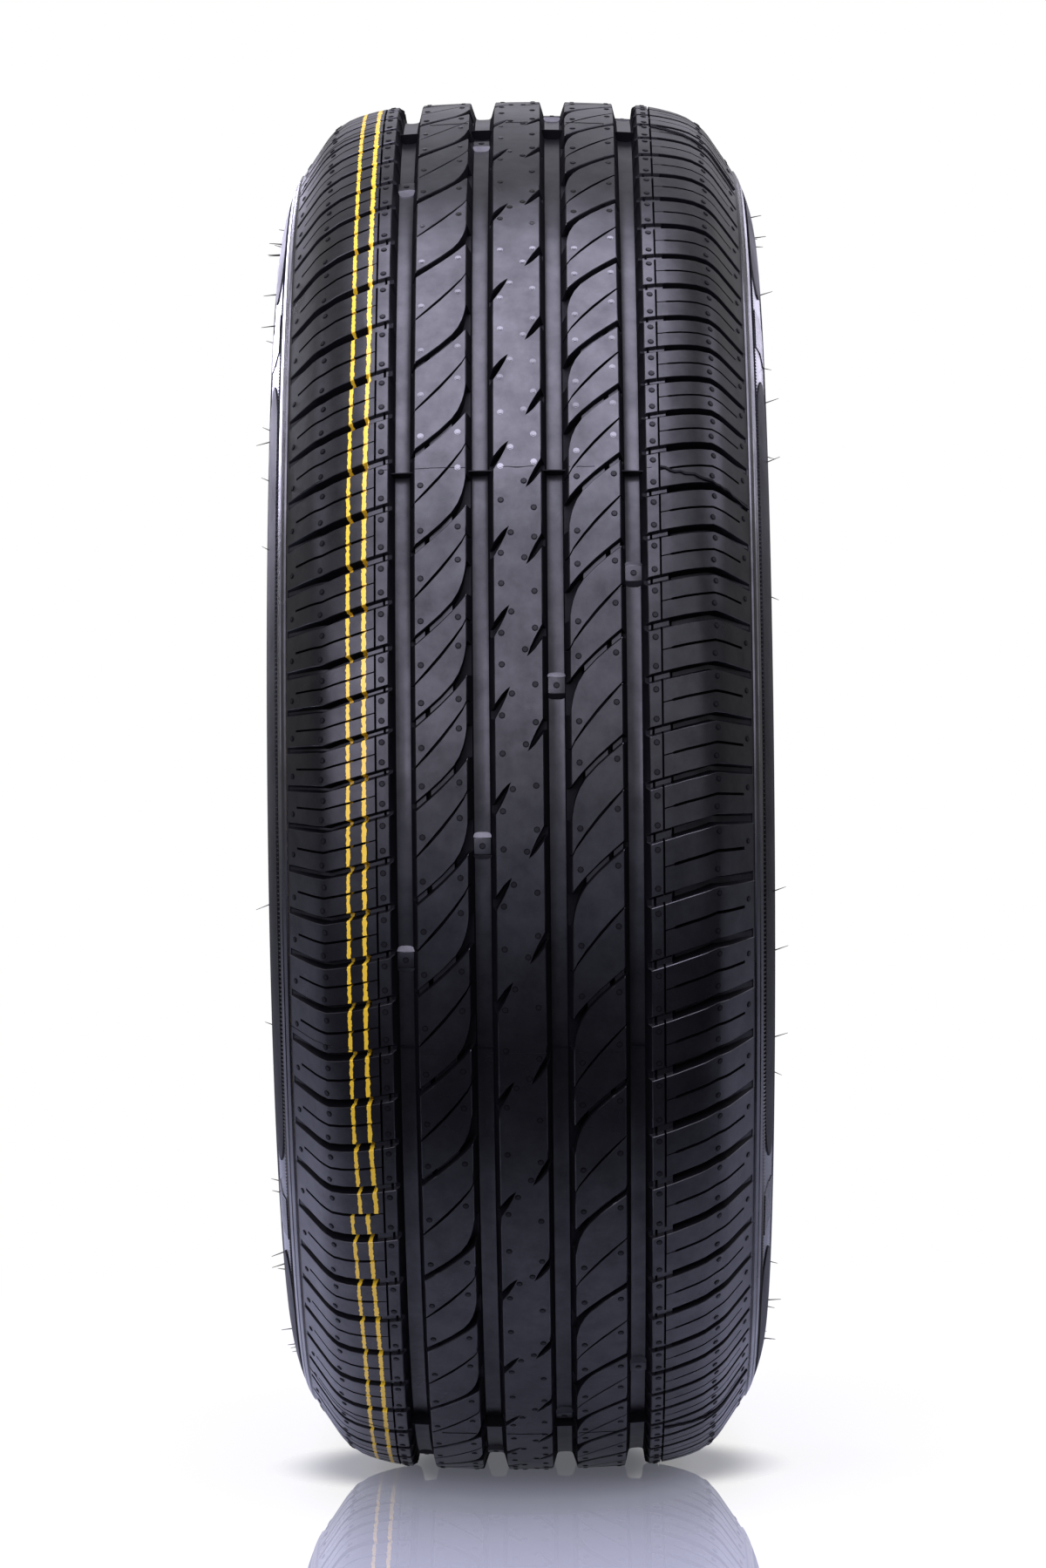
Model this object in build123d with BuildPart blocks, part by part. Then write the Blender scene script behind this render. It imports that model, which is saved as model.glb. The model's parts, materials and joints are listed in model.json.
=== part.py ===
from build123d import *
import os
from math import asin, cos, degrees, radians, sin, sqrt

# Car tyre, moulded in one piece, standing upright on its tread.
# Millimetres. The origin is the tyre's centre, +Y is the spin axis and +Z is up.
# The tread is drawn on the +X side, where y runs across it and z runs around it.

# Overall sizes of the tyre and of the rim that it fits
overall_diameter = 632.0
section_width = 214.4
bead_seat_diameter = 405.6
rim_width = 165.1
rim_flange_height = 17.5

# Outer section: crown arc, two shoulder arcs, a straight buttress and the sidewall
crown_radius = 747.0
shoulder_radius = 82.0
shoulder_end_slope = 19.6
edge_radius = 28.3
buttress_slope = 56.0
buttress_length = 12.9
sidewall_bulge = 12.1
widest_height = 45.2

# Wall thicknesses and the bead
crown_thickness = 17.0
shoulder_thickness = 18.0
sidewall_thickness = 8.0
liner_flat_half_width = 46.0
bead_width = 20.0
bead_heel_radius = 6.0
bead_toe_lift = 3.0
bead_neck_thickness = 12.5

# Main grooves that run right round the tread
centre_rib_width = 20.4
second_rib_width = 23.2
groove_width = 9.8
groove_floor_width = 7.2
groove_depth = 7.8

# Grooves across the shoulder, two to a pitch
shoulder_groove_width = 3.6
shoulder_groove_start_depth = 2.6
shoulder_groove_depth = 6.2
shoulder_groove_end_depth = 2.6
shoulder_groove_start = 1.3
shoulder_groove_rise = 7.9
shoulder_groove_drop = 0.7
shoulder_kink_offset = 26.4
shoulder_groove_end_offset = 43.6

# Curved groove across each second rib, one to a pitch
rib_groove_depth = 6.2
rib_groove_width = 2.3
rib_groove_fall = 35.0
rib_groove_mouth = 14.5
rib_groove_lower_bow = 4.4
rib_groove_upper_bow = 1.2

# Teardrop notch in each edge of the centre rib, one to a pitch
notch_depth = 5.0
notch_reach = 6.7
notch_length = 14.0
notch_mouth_length = 5.0
notch_start = -36.0
notch_bow = 1.0

# Tread-wear bars in the floors of the main grooves, from the left groove to the right
wear_bar_height = 1.6
wear_bar_length = 10.0
wear_bars_per_groove = 5
wear_bar_angles = (13.0, 4.1, -8.2, -17.1)

# Pitches of uneven length, so that the tread doesn't hum, going down the front of the tyre
pitch_length = {"S": 34.6, "M": 39.6, "L": 44.4, "X": 49.3, "Z": 53.8}
right_pitches = "LLMSSMMLLZXZZXMSMLXZXMSMLXXZLMSSMLXLMMMLXZXLL"
left_pitches = "LLZZLLMSSMMLLZXZZLMSMLXLMSSMLXZXLMMLLZXLMSMLX"
right_start_angle = -62.4
left_start_angle = -70.5

# Cutters stand this far clear of the surfaces that they cut
clear = 2.0

tread_radius = overall_diameter / 2
bead_radius = bead_seat_diameter / 2
half_width = section_width / 2
half_rim = rim_width / 2

# Where the stretches of the outer section meet, y across and r from the spin axis
end_slope = radians(buttress_slope)
mid_slope = radians(shoulder_end_slope)
buttress_end_y = half_width - sidewall_bulge
buttress_start_y = buttress_end_y - buttress_length * cos(end_slope)
edge_start_y = buttress_start_y - edge_radius * (sin(end_slope) - sin(mid_slope))
crown_slope = asin((edge_start_y - shoulder_radius * sin(mid_slope)) / (crown_radius - shoulder_radius))
crown_end_y = crown_radius * sin(crown_slope)
crown_end_r = tread_radius - crown_radius * (1 - cos(crown_slope))
edge_start_r = crown_end_r - shoulder_radius * (cos(crown_slope) - cos(mid_slope))
buttress_start_r = edge_start_r - edge_radius * (cos(mid_slope) - cos(end_slope))
buttress_end_r = buttress_start_r - buttress_length * sin(end_slope)


def arc_radius(y, end_y, end_r, radius, slope):
    """Radius at y on a section arc that ends at (end_y, end_r) with the given slope."""
    centre_y = end_y - radius * sin(slope)
    centre_r = end_r - radius * cos(slope)
    return centre_r + sqrt(radius**2 - (y - centre_y) ** 2)


def surface_radius(y):
    """Radius of the tread's outer surface at a distance y from its middle."""
    if y <= crown_end_y:
        return arc_radius(y, crown_end_y, crown_end_r, crown_radius, crown_slope)
    if y <= edge_start_y:
        return arc_radius(y, edge_start_y, edge_start_r, shoulder_radius, mid_slope)
    if y <= buttress_start_y:
        return arc_radius(y, buttress_start_y, buttress_start_r, edge_radius, end_slope)
    return buttress_start_r - (y - buttress_start_y) * sin(end_slope) / cos(end_slope)


def pitch_turns(pitches, start_angle):
    """Start angle and turn of every pitch, scaled so that the ring closes."""
    total = sum(pitch_length[letter] for letter in pitches)
    turns = []
    angle = start_angle
    for letter in pitches:
        turn = 360 * pitch_length[letter] / total
        turns.append((angle, turn))
        angle += turn
    return turns


def turned(angle):
    """Location that turns a piece round the spin axis, down the front of the tyre."""
    return Location((0, 0, 0), (0, angle, 0))


# Edges of the ribs, from the middle of the tread outwards
centre_rib_edge = centre_rib_width / 2
second_rib_inner = centre_rib_edge + groove_width
second_rib_outer = second_rib_inner + second_rib_width
shoulder_edge = second_rib_outer + groove_width
inner_groove_middle = centre_rib_edge + groove_width / 2
outer_groove_middle = second_rib_outer + groove_width / 2

# Points that the bead and the inside of the casing share
widest_r = bead_radius + widest_height
flange_r = bead_radius + rim_flange_height
toe_y = half_rim - bead_width
inner_side_y = half_width - sidewall_thickness
liner_r = tread_radius - crown_thickness
edge_middle_slope = (mid_slope + end_slope) / 2
edge_middle_y = buttress_start_y - edge_radius * (sin(end_slope) - sin(edge_middle_slope))
edge_middle_r = buttress_start_r + edge_radius * (cos(edge_middle_slope) - cos(end_slope))
liner_shoulder_y = edge_middle_y - shoulder_thickness * sin(edge_middle_slope)
liner_shoulder_r = edge_middle_r - shoulder_thickness * cos(edge_middle_slope)

# Casing: half of the section is drawn, mirrored and turned round the spin axis.
# Each rib is straight across, which keeps within a tenth of a millimetre of the crown arc.
with BuildPart() as tyre:
    with BuildSketch(Plane.YZ):
        with BuildLine():
            ribs = Polyline(
                (0, tread_radius),
                (centre_rib_edge, surface_radius(centre_rib_edge)),
                (second_rib_inner, surface_radius(second_rib_inner)),
                (second_rib_outer, surface_radius(second_rib_outer)),
                (crown_end_y, crown_end_r),
            )
            shoulder = JernArc(
                ribs @ 1,
                (cos(crown_slope), -sin(crown_slope)),
                shoulder_radius,
                degrees(crown_slope) - shoulder_end_slope,
            )
            edge = JernArc(shoulder @ 1, shoulder % 1, edge_radius, shoulder_end_slope - buttress_slope)
            buttress = Line(edge @ 1, (buttress_end_y, buttress_end_r))
            upper_side = Spline(buttress @ 1, (half_width, widest_r), tangents=[buttress % 1, (0, -1)])
            lower_side = Spline(upper_side @ 1, (half_rim, flange_r), tangents=[(0, -1), (-1, -1)])
            flange_face = Line(lower_side @ 1, (half_rim, bead_radius + bead_heel_radius))
            heel = TangentArc(flange_face @ 1, (half_rim - bead_heel_radius, bead_radius), tangent=(0, -1))
            seat = Line(heel @ 1, (toe_y, bead_radius))
            toe = Line(seat @ 1, (toe_y, bead_radius + bead_toe_lift))
            inner_low = Spline(
                toe @ 1,
                (half_rim - bead_neck_thickness, flange_r),
                (inner_side_y, widest_r),
                tangents=[(bead_toe_lift, bead_width), (0, 1)],
            )
            inner_high = Spline(
                inner_low @ 1,
                (liner_shoulder_y, liner_shoulder_r),
                (liner_flat_half_width, liner_r),
                tangents=[(0, 1), (-1, 0)],
            )
            liner = Line(inner_high @ 1, (0, liner_r))
            Line(liner @ 1, ribs @ 0)
        make_face()
        for middle in (inner_groove_middle, outer_groove_middle):
            floor_r = surface_radius(middle) - groove_depth
            with BuildLine():
                Polyline(
                    (middle - groove_floor_width / 2, floor_r),
                    (middle + groove_floor_width / 2, floor_r),
                    (middle + groove_width / 2, floor_r + groove_depth),
                    (middle + groove_width / 2, floor_r + groove_depth + clear),
                    (middle - groove_width / 2, floor_r + groove_depth + clear),
                    (middle - groove_width / 2, floor_r + groove_depth),
                    close=True,
                )
            make_face(mode=Mode.SUBTRACT)
        mirror(about=Plane.YZ)
    revolve(axis=Axis.Y)

# Cutter for one shoulder groove: it climbs to a kink, then falls a little to the tread's edge
kink_y = shoulder_edge + shoulder_kink_offset
kink_z = shoulder_groove_start + shoulder_groove_rise
start_y = shoulder_edge - clear
end_y = shoulder_edge + shoulder_groove_end_offset
start_floor = surface_radius(shoulder_edge) - shoulder_groove_start_depth
kink_floor = surface_radius(kink_y) - shoulder_groove_depth
end_floor = surface_radius(end_y) - shoulder_groove_end_depth
start_climb = shoulder_groove_rise / shoulder_kink_offset
end_climb = -shoulder_groove_drop / (shoulder_groove_end_offset - shoulder_kink_offset)
cutter_top = tread_radius + clear

with BuildPart() as shoulder_groove:
    for far_y, far_floor, climb in ((start_y, start_floor, start_climb), (end_y, end_floor, end_climb)):
        slanted = Plane((0, kink_y, kink_z), x_dir=(0, 1, climb), z_dir=(0, climb, -1))
        far = (far_y - kink_y) * sqrt(1 + climb**2)
        with BuildSketch(slanted):
            with BuildLine():
                Polyline((0, kink_floor), (far, far_floor), (far, cutter_top), (0, cutter_top), close=True)
            make_face()
        extrude(amount=shoulder_groove_width / 2, dir=(0, 0, 1), both=True)

# Cutter for one rib groove: its lower wall runs out along the rib's inner edge
groove_outer_y = second_rib_outer + clear / 2
groove_inner_y = second_rib_inner - clear / 2
half_rise = rib_groove_width / sqrt(2)
with BuildPart() as rib_groove:
    with BuildSketch(Plane.YZ.offset(tread_radius - rib_groove_depth)):
        with BuildLine():
            lower_wall = SagittaArc(
                (groove_outer_y, -half_rise), (groove_inner_y, -rib_groove_fall), -rib_groove_lower_bow
            )
            mouth = Line(lower_wall @ 1, (groove_inner_y, rib_groove_mouth - rib_groove_fall))
            upper_wall = SagittaArc(mouth @ 1, (groove_outer_y, half_rise), rib_groove_upper_bow)
            Line(upper_wall @ 1, lower_wall @ 0)
        make_face()
    extrude(amount=rib_groove_depth + clear)

# Cutter for one teardrop notch in an edge of the centre rib
notch_mouth_y = centre_rib_edge + clear / 2
notch_tip = (centre_rib_edge - notch_reach, notch_start - notch_length)
with BuildPart() as notch:
    with BuildSketch(Plane.YZ.offset(tread_radius - notch_depth)):
        with BuildLine():
            notch_lower = Line(notch_tip, (notch_mouth_y, notch_start - notch_mouth_length))
            notch_mouth = Line(notch_lower @ 1, (notch_mouth_y, notch_start))
            SagittaArc(notch_mouth @ 1, notch_tip, -notch_bow)
        make_face()
    extrude(amount=notch_depth + clear)

# The cutters go round both halves, and the left half is the right half turned end for end
cutters = []
for half, turns in (
    (Location(), pitch_turns(right_pitches, right_start_angle)),
    (Location((0, 0, 0), (180, 0, 0)), pitch_turns(left_pitches, left_start_angle)),
):
    for angle, turn in turns:
        cutters.append(turned(angle) * half * rib_groove.part)
        cutters.append(turned(angle) * half * notch.part)
        cutters.append(turned(angle) * half * shoulder_groove.part)
        cutters.append(turned(angle + turn / 2) * half * shoulder_groove.part)

# Wear bars: short stretches of raised floor, from wall to wall of each main groove
bar_turn = degrees(wear_bar_length / tread_radius)
bar_middles = (-outer_groove_middle, -inner_groove_middle, inner_groove_middle, outer_groove_middle)
wear_bars = []
for middle, bar_angle in zip(bar_middles, wear_bar_angles):
    floor_r = surface_radius(abs(middle)) - groove_depth
    with BuildPart() as wear_bar:
        with BuildSketch(Plane.YX):
            with Locations((middle, floor_r)):
                Rectangle(groove_width, 2 * wear_bar_height)
        revolve(axis=Axis.Y, revolution_arc=bar_turn)
    for count in range(wear_bars_per_groove):
        wear_bars.append(turned(bar_angle + count * 360 / wear_bars_per_groove) * wear_bar.part)

with tyre:
    add(wear_bars)
    add(cutters, mode=Mode.SUBTRACT)

os.makedirs("parts", exist_ok=True)
tyre.part.label = "tyre"
export_step(tyre.part, "parts/tyre.step")
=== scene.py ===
# %% [markdown]
# # A car tyre
# A tyre is one ring of rubber, cured in a steel mould that gives it all its looks: five ribs with four
# deep grooves between them, cross grooves and hair-thin cuts, vent marks and sidewalls. The tread could be
# cut out of a ring with booleans, but ninety pitches of cuts would be slow and leave ragged faces. So it
# is drawn flat, on a chart with one square for every facet, and folded round the tyre. Sidewalls, beads
# and inside are spun and bridged to it. Small things are modelled once, lying flat, and folded on in the
# same way.

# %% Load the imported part
import json
from math import asin, cos, degrees, pi, radians, sin, tau

import bmesh
import bpy
import numpy as np
from mathutils import Matrix, Vector


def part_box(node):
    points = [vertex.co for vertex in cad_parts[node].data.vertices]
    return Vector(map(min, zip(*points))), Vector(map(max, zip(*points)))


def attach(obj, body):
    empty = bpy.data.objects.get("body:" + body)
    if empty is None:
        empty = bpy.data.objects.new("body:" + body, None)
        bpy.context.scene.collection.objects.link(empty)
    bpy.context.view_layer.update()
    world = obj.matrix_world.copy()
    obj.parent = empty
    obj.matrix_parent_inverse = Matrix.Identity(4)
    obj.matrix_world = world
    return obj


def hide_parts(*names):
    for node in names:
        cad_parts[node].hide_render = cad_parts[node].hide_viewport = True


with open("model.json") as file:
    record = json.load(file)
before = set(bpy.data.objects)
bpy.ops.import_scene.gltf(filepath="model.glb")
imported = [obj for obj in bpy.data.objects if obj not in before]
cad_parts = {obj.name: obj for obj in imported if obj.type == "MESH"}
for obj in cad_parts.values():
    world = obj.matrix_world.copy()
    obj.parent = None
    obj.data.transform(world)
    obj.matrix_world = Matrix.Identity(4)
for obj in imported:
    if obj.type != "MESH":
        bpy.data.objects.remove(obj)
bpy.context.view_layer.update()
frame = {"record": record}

MM = 0.001
low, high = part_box("tyre")
tread_radius = round((high.x - low.x) / 2 / MM, 1)
half_width = round((high.y - low.y) / 2 / MM, 1)
bead = next(mount for mount in frame["record"]["mounts"] if mount["name"] == "bead_seats")
bead_radius = bead["dims"]["r_mm"]
print("tread radius", tread_radius, "half width", half_width, "bead radius", bead_radius)

# %% [markdown]
# ## The camera
# The photograph was taken with a long lens from nine tyre radii away. The tyre's outline in it gives the
# distance, the focal length and three very small turns of the tyre. The tyre here stays where the solid
# is, so the camera takes up these turns, the other way round.

# %% Place the camera
photo_height = 1799
focal_length_px = 6993.7
camera_distance = 2835.9
tyre_roll, tyre_yaw, tyre_pitch = 0.576, -0.419, -0.500
tyre_shift = Vector((0, 0.9, -0.7))
sensor_size = 36.0


def new_object(name, data):
    """A new object that is linked to the scene."""
    thing = bpy.data.objects.new(name, data)
    bpy.context.scene.collection.objects.link(thing)
    return thing


tyre_turn = (
    Matrix.Rotation(radians(tyre_roll), 3, "X")
    @ Matrix.Rotation(-radians(tyre_pitch), 3, "Y")
    @ Matrix.Rotation(radians(tyre_yaw), 3, "Z")
)
turn_back = tyre_turn.transposed()
# The camera's right, up and back lie along y, z and x
camera_axes = Matrix(((0, 0, 1), (1, 0, 0), (0, 1, 0)))
camera = new_object("camera", bpy.data.cameras.new("camera"))
camera.data.lens = focal_length_px * sensor_size / photo_height
camera.data.sensor_width = sensor_size
camera.location = turn_back @ (Vector((camera_distance, 0, 0)) - tyre_shift) * MM
camera.rotation_euler = (turn_back @ camera_axes).to_euler()
bpy.context.scene.camera = camera
print("lens", round(camera.data.lens, 1), "mm")

# %% [markdown]
# ## The outer section
# Cut across, the outside is a nearly flat crown, two tighter shoulder arcs, a short straight buttress and
# the round of the sidewall. Everything is placed by its distance `across`, measured along this line from
# the middle, by its distance `around`, measured upwards at the front, and by its height above the line. A
# curve modifier could bend the tread too, but it stretches what lies far from its curve.

# %% Walk along the outer section
crown_radius = 747.0
shoulder_radius = 82.0
edge_radius = 28.3
side_radius = 71.0
shoulder_slope = radians(19.6)
buttress_slope = radians(56.0)
buttress_length = 12.9

side_bulge = side_radius * (1 - sin(buttress_slope))
edge_width = edge_radius * (sin(buttress_slope) - sin(shoulder_slope))
edge_start = half_width - side_bulge - buttress_length * cos(buttress_slope) - edge_width
crown_slope = asin((edge_start - shoulder_radius * sin(shoulder_slope)) / (crown_radius - shoulder_radius))
# Radius and end slope of each stretch; the straight one has no radius
section_arcs = (
    (crown_radius, crown_slope),
    (shoulder_radius, shoulder_slope),
    (edge_radius, buttress_slope),
    (None, buttress_slope),
    (side_radius, pi / 2),
)


def section_point(across):
    """Distance from the middle plane, radius and slope of the outer section at a distance along it."""
    y, r, slope, left = 0.0, tread_radius, 0.0, across
    for radius, end_slope in section_arcs:
        length = buttress_length if radius is None else radius * (end_slope - slope)
        step = min(left, length)
        if radius is None:
            y += step * cos(slope)
            r -= step * sin(slope)
        else:
            new_slope = slope + step / radius
            y += radius * (sin(new_slope) - sin(slope))
            r -= radius * (cos(slope) - cos(new_slope))
            slope = new_slope
        left -= step
        if left <= 0:
            break
    return y, r, slope


widest = sum(
    buttress_length if radius is None else radius * (end - start)
    for (radius, end), start in zip(section_arcs, [0.0] + [end for _, end in section_arcs])
)
print("across at the widest", round(widest, 1), "->", [round(v, 2) for v in section_point(widest)])

# %% Fold flat places round the tyre
table_steps = 600
table_across = np.linspace(0, widest, table_steps)
section_table = np.array([section_point(across) for across in table_across])
circumference = tau * tread_radius


def folded(across, around, height):
    """Points in metres at places across and around the tyre and at a height above its outer section."""
    y, r, slope = (np.interp(np.abs(across), table_across, values) for values in section_table.T)
    side = np.where(np.asarray(across) < 0, -1, 1)
    radius = r + height * np.cos(slope)
    angle = around / tread_radius
    points = (radius * np.cos(angle), side * (y + height * np.sin(slope)), radius * np.sin(angle))
    return np.stack(points, axis=-1) * MM


# %% [markdown]
# ## The chart's columns
# A column is one line that runs right round the tyre, with its distance across, its depth below the outer
# section, and the depth of the floors of the wide and the thin cuts there. In a main groove the columns go
# down one wall, along the rounded floor and up the other wall. A wall has a column at the depth of the
# cuts that open into it, so that their mouths stay open. The floor of the curved groove on the rib lies on
# a shelf with deep, black gaps beside it, as the photograph shows.

# %% Helpers for columns
groove_depth = 7.8
wall_lean = 2.2
wall_foot = 6.4
foot_round = ((2.3, 7.3), (3.4, 7.7))
least_wall = 1.0
chamfer = 0.4
columns = []


def add_column(zone, across, depth=0.0, wide=0.0, thin=None, home=None):
    """Adds a column with the depth of the surface and of the wide and the thin cuts."""
    column = {"zone": zone, "across": across, "depth": depth, "home": home}
    columns.append(column | {"wide": wide, "thin": wide if thin is None else thin})


def add_main_groove(zone, inner, outer, inner_floor, outer_floor):
    """Adds the columns of one main groove between two rib edges, each wall with the floor of its cuts."""
    walls = {}
    for home, edge, side, floor in (("inner", inner, 1, inner_floor), ("outer", outer, -1, outer_floor)):
        feet = [floor] if wall_foot - floor < least_wall else [floor, wall_foot]
        wall = [(edge, chamfer, floor)]
        wall += [(edge + side * wall_lean * depth / groove_depth, depth, depth) for depth in feet]
        wall += [(edge + side * reach, depth, depth) for reach, depth in foot_round]
        walls[home] = [(*place, home) for place in wall]
    middle = [((inner + outer) / 2, groove_depth, groove_depth, "middle")]
    for across, depth, floor, home in walls["inner"] + middle + walls["outer"][::-1]:
        add_column(zone, across, depth, wide=floor, home=home)


# %% Lay out the columns from the middle to the second rib
centre_rib_edge = 10.2
second_rib_inner, second_rib_outer = 21.4, 43.2
shoulder_edge = 54.0
notch_tip, notch_depth = 3.5, 5.0
cut_depth = 6.2
shelf_depth = 2.6
tie_bar_depth = 1.3
centre_columns = (2.0, notch_tip, 5.0, 7.0, centre_rib_edge - chamfer)
rib_columns = (
    (cut_depth, (second_rib_inner + chamfer, 22.3, 23.2, 24.9, 26.6)),
    (shelf_depth, (27.4, 32.5, 36.8)),
    (cut_depth, (37.4, 38.3)),
    (shelf_depth, (38.9, second_rib_outer - chamfer)),
)
for place in centre_columns:
    add_column("centre", place, wide=notch_depth)
add_main_groove("inner_groove", centre_rib_edge, second_rib_inner, notch_depth, cut_depth)
for depth, places in rib_columns:
    for place in places:
        add_column("rib", place, wide=depth)
add_main_groove("outer_groove", second_rib_outer, shoulder_edge, cut_depth, tie_bar_depth)
print("columns so far", len(columns))

# %% Lay out the columns on the shoulder
tie_bar_slot_depth = 3.6
tie_bar_slot = ((55.3, tie_bar_depth), (55.85, tie_bar_slot_depth), (56.4, tie_bar_depth))
tie_bar_end = 63.0
narrow_cut, narrow_cut_depth = (59.2, 60.1), 3.0
sipe_depth, sipe_below_groove = 5.0, 0.6
gap_columns = (tie_bar_end + 0.5, tie_bar_end + 1.5)
kink = 83.8
shoulder_floor = 5.2
level_columns = (65.2, 70.0, 74.0, 78.0, kink)
sipe_end, groove_end, chart_end = 102.5, 109.4, 110.5
rising_columns = ((85.5, 4.8), (88.0, 4.2), (91.0, 3.5), (96.0, 2.7), (sipe_end, 1.9), (groove_end, 0.5))
for place, depth in ((shoulder_edge + chamfer, tie_bar_depth), *tie_bar_slot):
    add_column("shoulder", place, wide=depth)
for place in (*narrow_cut, tie_bar_end):
    add_column("shoulder", place, wide=tie_bar_depth, thin=narrow_cut_depth)
for place in gap_columns:
    add_column("shoulder", place, wide=cut_depth, thin=sipe_depth)
for place in level_columns:
    add_column("shoulder", place, wide=shoulder_floor, thin=sipe_depth)
for place, depth in rising_columns:
    add_column("shoulder", place, wide=depth, thin=min(sipe_depth, depth + sipe_below_groove))
add_column("shoulder", chart_end)
print("columns", len(columns))

# %% [markdown]
# ## The chart's lines
# Across the chart run the walls of the cuts. One pitch holds two wide grooves with a thin cut after each
# on the shoulder, a curved groove and a curved thin cut on the rib, and a teardrop notch on the centre
# rib. Each line is a short list of places read from the photograph. On the shoulder the widths grow with
# the pitch, and everywhere the gaps between the cuts do.

# %% Draw the lines of the ribs
rib_upper_wall = ((21.4, -20.3), (24.9, -15.8), (27.5, -12.9), (32.5, -7.9), (37.5, -3.4), (43.2, 1.5))
rib_lower_wall = (
    (21.4, -35.0), (22.3, -29.0), (23.2, -25.2), (24.9, -20.8),
    (27.5, -16.6), (32.5, -11.3), (37.5, -6.8), (43.2, -2.1),
)
rib_sipe = ((21.4, -27.0), (23.2, -23.3), (27.5, -17.2), (32.5, -10.9), (37.5, -5.2), (43.2, 1.0))
rib_sipe_half, rib_sipe_taper, rib_middle = 0.9, 0.55, 32.3
rib_upper_lean, rib_lower_lean = 0.9, 0.6
notch_upper = ((3.5, -50.0), (5.0, -46.0), (7.0, -41.9), (10.2, -36.0))
notch_lower = ((3.5, -50.0), (5.0, -48.4), (7.0, -45.9), (10.2, -41.4))
notch_taper = 3.0
notch_facet, notch_facet_depth = 0.9, 1.2
lead = 5.0
edge_line = 0.25


def along(line, across):
    """Place around the tyre of a line drawn through points, at a distance across."""
    return float(np.interp(across, [point[0] for point in line], [point[1] for point in line]))


def notch_share(across):
    """How far the notch has opened at a distance across, from 0 at its tip to 1."""
    return min(1.0, max(0.0, (across - notch_tip) / notch_taper))


def centre_lines(across, pitch, lean):
    """The fourteen lines on the centre rib: only its notch is cut."""
    share = notch_share(across)
    upper, lower = along(notch_upper, across), along(notch_lower, across)
    top = upper + lead
    facet = lower - notch_facet * share
    quarter = (top - pitch - facet) / 4
    walls = [upper + chamfer * share, upper - lean * share, lower + lean * share, facet]
    return [top, *walls] + [facet + quarter * n for n in (1, 1, 2, 2, 2, 2, 3, 3)] + [top - pitch]


def rib_lines(across, pitch, lean):
    """The fourteen lines on the second rib: a curved groove and, half a pitch on, a curved thin cut."""
    upper, lower = along(rib_upper_wall, across), along(rib_lower_wall, across)
    sipe = along(rib_sipe, across) - pitch / 2
    top = upper + lead
    bottom = top - pitch
    walls = [upper + chamfer, upper - rib_upper_lean * lean, lower + rib_lower_lean * lean, lower - chamfer]
    from_middle = (across - rib_middle) / (rib_middle - second_rib_inner)
    half = rib_sipe_half * (1 - rib_sipe_taper * from_middle**2)
    sipe_top, sipe_bottom = sipe + half, sipe - half
    before = (lower - chamfer + sipe_top) / 2
    after = (sipe_bottom + bottom) / 2
    cuts = [before, before, sipe_top, sipe_top, sipe_bottom, sipe_bottom - edge_line, after, after]
    return [top, *walls, *cuts, bottom]


LINES = len(rib_lines(rib_middle, circumference, 0.0))
print("lines in a pitch", LINES)

# %% Draw the lines of the shoulder and of the main grooves
shoulder_line = ((53.0, 1.7), (60.0, 3.6), (70.0, 6.3), (kink, 9.5), (108.8, 8.7))
groove_share, sipe_share = 0.086, 0.027
thin_start_half = 0.28
draft = 1.0


def shoulder_lines(across, pitch, lean):
    """The fourteen lines on the shoulder: two wide grooves with a thin cut after each."""
    middle = along(shoulder_line, across)
    half = groove_share * pitch / 2
    sipe_half = sipe_share * pitch / 2 if across > sum(gap_columns) / 2 else thin_start_half
    lines = [middle + lead]
    for start in (0, pitch / 2):
        groove = middle - start
        sipe = groove - pitch / 4
        lines += [groove + half + chamfer / 2, groove + half - lean]
        lines += [groove - half + lean, groove - half - edge_line]
        lines += [sipe + sipe_half, sipe - sipe_half]
    return lines + [middle + lead - pitch]


zone_lines = {"centre": centre_lines, "rib": rib_lines, "shoulder": shoulder_lines}
groove_sides = {
    "inner_groove": (("centre", centre_rib_edge), ("rib", second_rib_inner)),
    "outer_groove": (("rib", second_rib_outer), ("shoulder", shoulder_edge)),
}


def column_lines(column, pitch, lean):
    """Places around the tyre of the lines where they cross one column."""
    if column["zone"] in zone_lines:
        return np.array(zone_lines[column["zone"]](column["across"], pitch, lean))
    (inner_zone, inner), (outer_zone, outer) = groove_sides[column["zone"]]
    lean = lean if column["depth"] == chamfer else draft
    inner_lines = np.array(zone_lines[inner_zone](inner, pitch, lean))
    outer_lines = np.array(zone_lines[outer_zone](outer, pitch, lean))
    share = {"inner": 0.0, "middle": 0.5, "outer": 1.0}[column["home"]]
    return inner_lines * (1 - share) + outer_lines * share


# %% Say how deep the surface and the cuts are at the lines
WIDE_LINES = [2, 3, 8, 9]
WIDE_BANDS, THIN_BANDS = (2, 8), (5, 11)


def top_depths(column):
    """Depth of the surface at the lines of one column, with the chamfers beside the cuts."""
    depths = np.full(LINES, column["depth"])
    zone = column["zone"]
    if zone == "centre":
        share = notch_share(column["across"])
        depths[2] = max(depths[2], chamfer * share)
        depths[3] = max(depths[3], notch_facet_depth * share)
    elif zone == "rib":
        depths[2:4] = chamfer
        depths[9] = edge_line
    elif zone == "shoulder" and column["across"] < chart_end:
        depths[[2, 8]] = chamfer / 2
        depths[[3, 9]] = edge_line
    return depths


def floor_depths(column):
    """Depth of the cut floors at the lines of one column."""
    depths = np.full(LINES, column["thin"])
    depths[WIDE_LINES] = column["wide"]
    return depths


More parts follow.
